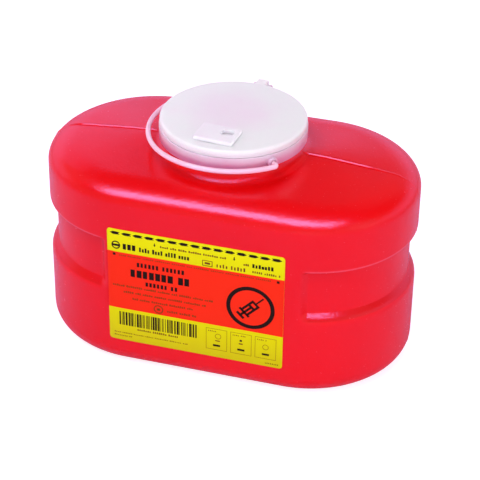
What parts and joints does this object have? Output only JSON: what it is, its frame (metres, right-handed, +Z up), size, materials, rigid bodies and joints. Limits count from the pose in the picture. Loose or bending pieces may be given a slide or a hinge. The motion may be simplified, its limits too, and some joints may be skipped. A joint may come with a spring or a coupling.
{
  "type": "sharps container",
  "caption": "Oval red sharps container with a clip-on white funnel cap, hinged round lid, sliding lid lock, bail carry handle and a plain hazard-coloured front label.",
  "frame": {"origin": "on the resting plane under the middle of the oval body", "axes": "+X along the body's length, +Y to the back so that the label faces -Y, +Z up along the neck"},
  "size_m": [0.232, 0.1318, 0.1534],
  "materials": {
    "red_shell": "blow-moulded polypropylene, satin with a fine orange-peel grain",
    "label_sheet": "printed film label, semi-gloss",
    "white_cap": "translucent milky polypropylene, satin",
    "clear_handle": "translucent natural polypropylene, satin"
  },
  "bodies": {
    "container": {"body_shell": "red_shell", "front_label": "label_sheet", "cap_collar": "white_cap", "funnel_chute": "white_cap", "lid_hinge_pin": "white_cap"},
    "lid": {"lid": "white_cap"},
    "lock": {"lock_slide": "white_cap"},
    "handle": {"carry_handle": "clear_handle"}
  },
  "joints": [
    {"name": "lid_hinge", "type": "hinge", "parent": "container", "child": "lid", "pos_m": [0.00432, 0.04941, 0.1453], "axis": [-0.9962, 0.0872, 0], "range_deg": [0, 115]},
    {"name": "lock_slide", "type": "slide", "parent": "lid", "child": "lock", "axis": [-0.0872, -0.9962, 0], "range_m": [0, 0.003]},
    {"name": "handle_swing", "type": "hinge", "parent": "container", "child": "handle", "pos_m": [0, 0, 0.1411], "axis": [-0.7242, 0.6896, 0], "range_deg": [0, 155]}
  ]
}
